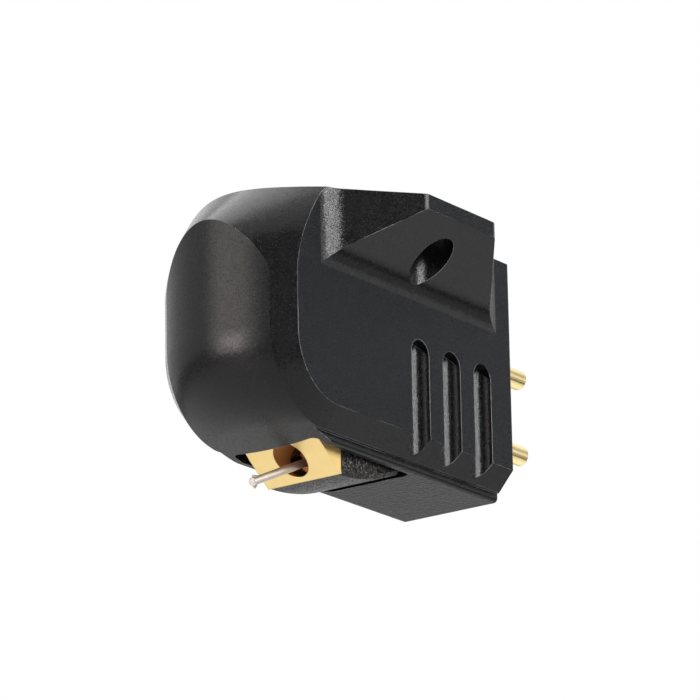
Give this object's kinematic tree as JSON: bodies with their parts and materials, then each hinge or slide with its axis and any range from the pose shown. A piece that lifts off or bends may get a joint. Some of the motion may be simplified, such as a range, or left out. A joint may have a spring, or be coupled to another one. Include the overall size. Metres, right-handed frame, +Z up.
{
  "type": "turntable stylus cartridge",
  "caption": "Moving-coil pickup cartridge: bevelled metal body with flared mounting ears, grooved sides, sprung cantilever with diamond tip and rear signal pins.",
  "frame": {"origin": "top mounting face, midway between the two mounting holes", "axes": "+Z up towards the headshell, front of the cartridge along -Y, +X to the right seen from the front"},
  "size_m": [0.0172, 0.0279, 0.0172],
  "materials": {
    "black_anodised": "bead blasted and black anodised",
    "black_plastic": "moulded, satin",
    "gold_plate": "gold plated",
    "lead_insulation": "insulated fine wire",
    "board": "bare laminate",
    "carrier_plastic": "rough moulded",
    "magnet_steel": "nickel plated",
    "soft_iron": "ground",
    "brass": "drawn",
    "spring_steel": "bright",
    "damper_rubber": "soft moulded",
    "copper_wire": "enamelled copper",
    "cantilever_metal": "drawn and polished",
    "diamond": "polished"
  },
  "bodies": {
    "cartridge": {"body_shell": "black_anodised", "terminal_block": "black_plastic", "pin_left_hot": "gold_plate", "pin_right_hot": "gold_plate", "pin_left_ground": "gold_plate", "pin_right_ground": "gold_plate", "lead_left_hot": "lead_insulation", "lead_right_hot": "lead_insulation", "lead_left_ground": "lead_insulation", "lead_right_ground": "lead_insulation", "lead_board": "board", "generator_carrier": "carrier_plastic", "front_pole_piece": "gold_plate", "magnet": "magnet_steel", "rear_yoke": "soft_iron", "pole_pin": "soft_iron", "suspension_sleeve": "brass", "suspension_wire": "spring_steel", "sleeve_screw": "spring_steel"},
    "suspension": {"damper_ring": "damper_rubber"},
    "cantilever": {"armature": "soft_iron", "coil_left_upper": "copper_wire", "coil_left_lower": "copper_wire", "coil_right_upper": "copper_wire", "coil_right_lower": "copper_wire", "cantilever": "cantilever_metal", "stylus_tip": "diamond"}
  },
  "joints": [
    {"name": "cantilever_swing", "type": "hinge", "parent": "cartridge", "child": "suspension", "pos_m": [0, -0.0026, -0.01407], "axis": [0, -0.2419, 0.9703], "range_deg": [-3, 3], "stiffness_Nm_per_rad": 0.0034},
    {"name": "cantilever_lift", "type": "hinge", "parent": "suspension", "child": "cantilever", "pos_m": [0, -0.0026, -0.01407], "axis": [-1, 0, 0], "range_deg": [-1, 4], "stiffness_Nm_per_rad": 0.0034}
  ]
}
